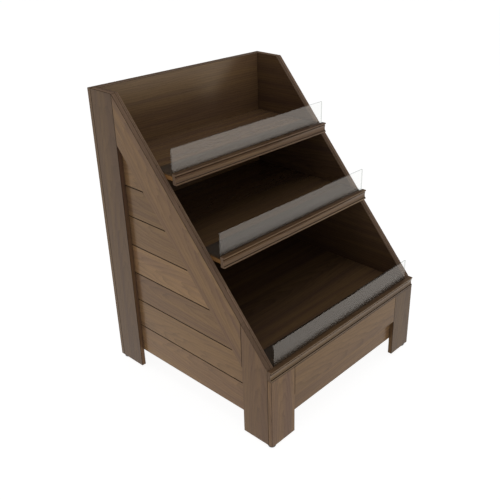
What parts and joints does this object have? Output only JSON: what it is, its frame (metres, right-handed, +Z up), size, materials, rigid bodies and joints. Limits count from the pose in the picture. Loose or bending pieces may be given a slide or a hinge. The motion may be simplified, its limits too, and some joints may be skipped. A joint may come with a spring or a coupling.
{
  "type": "slanted produce display bin",
  "caption": "Free-standing walnut produce bin with slanted sides, stepped level shelves, scotia edge mouldings, lift-out clear guards and levelling feet.",
  "frame": {"origin": "on the floor, under the middle of the bin's footprint", "axes": "+Z up, -Y towards the shopper at the low front, +X to the right seen from the front"},
  "size_m": [0.9144, 0.9144, 1.209],
  "materials": {
    "walnut_frame": "walnut veneer, satin lacquer",
    "walnut_plank": "walnut veneer, satin lacquer",
    "walnut_inside": "walnut veneer, satin lacquer",
    "walnut_shelf": "walnut veneer, satin lacquer",
    "walnut_moulding": "moulded walnut, satin lacquer",
    "raw_wood": "planed, stained brown",
    "acrylic": "clear, polished edges",
    "nylon": "moulded, fine matt"
  },
  "bodies": {
    "cabinet": {"left_rear_stile": "walnut_frame", "left_front_stile": "walnut_frame", "left_slant_rail": "walnut_frame", "left_liner": "walnut_inside", "left_plank_1": "walnut_plank", "left_plank_2": "walnut_plank", "left_plank_3": "walnut_plank", "left_plank_4": "walnut_plank", "left_plank_5": "walnut_plank", "left_plank_6": "walnut_plank", "left_plank_7": "walnut_plank", "left_plank_8": "walnut_plank", "left_plank_9": "walnut_plank", "right_rear_stile": "walnut_frame", "right_front_stile": "walnut_frame", "right_slant_rail": "walnut_frame", "right_liner": "walnut_inside", "right_plank_1": "walnut_plank", "right_plank_2": "walnut_plank", "right_plank_3": "walnut_plank", "right_plank_4": "walnut_plank", "right_plank_5": "walnut_plank", "right_plank_6": "walnut_plank", "right_plank_7": "walnut_plank", "right_plank_8": "walnut_plank", "right_plank_9": "walnut_plank", "front_left_stile": "walnut_frame", "front_right_stile": "walnut_frame", "front_rail": "walnut_frame", "front_panel": "walnut_plank", "back_left_stile": "walnut_frame", "back_right_stile": "walnut_frame", "back_top_rail": "walnut_frame", "back_bottom_rail": "walnut_frame", "back_panel": "walnut_inside", "top_shelf": "walnut_shelf", "middle_shelf": "walnut_shelf", "bottom_deck": "walnut_shelf", "top_left_cleat": "raw_wood", "top_right_cleat": "raw_wood", "middle_left_cleat": "raw_wood", "middle_right_cleat": "raw_wood", "bottom_left_cleat": "raw_wood", "bottom_right_cleat": "raw_wood", "top_moulding": "walnut_moulding", "middle_moulding": "walnut_moulding", "bottom_moulding": "walnut_moulding", "front_left_block": "raw_wood", "front_right_block": "raw_wood", "back_left_block": "raw_wood", "back_right_block": "raw_wood"},
    "top_guard_sheet": {"top_guard": "acrylic"},
    "middle_guard_sheet": {"middle_guard": "acrylic"},
    "bottom_guard_sheet": {"bottom_guard": "acrylic"},
    "front_left_leveller": {"front_left_foot": "nylon"},
    "front_right_leveller": {"front_right_foot": "nylon"},
    "back_left_leveller": {"back_left_foot": "nylon"},
    "back_right_leveller": {"back_right_foot": "nylon"}
  },
  "joints": [
    {"name": "top_guard_lift", "type": "slide", "parent": "cabinet", "child": "top_guard_sheet", "axis": [0, 0, 1], "range_m": [0, 0.15]},
    {"name": "middle_guard_lift", "type": "slide", "parent": "cabinet", "child": "middle_guard_sheet", "axis": [0, 0, 1], "range_m": [0, 0.15]},
    {"name": "bottom_guard_lift", "type": "slide", "parent": "cabinet", "child": "bottom_guard_sheet", "axis": [0, 0, 1], "range_m": [0, 0.15]},
    {"name": "front_left_level", "type": "slide", "parent": "cabinet", "child": "front_left_leveller", "axis": [0, 0, -1], "range_m": [0, 0.012]},
    {"name": "front_right_level", "type": "slide", "parent": "cabinet", "child": "front_right_leveller", "axis": [0, 0, -1], "range_m": [0, 0.012]},
    {"name": "back_left_level", "type": "slide", "parent": "cabinet", "child": "back_left_leveller", "axis": [0, 0, -1], "range_m": [0, 0.012]},
    {"name": "back_right_level", "type": "slide", "parent": "cabinet", "child": "back_right_leveller", "axis": [0, 0, -1], "range_m": [0, 0.012]}
  ]
}
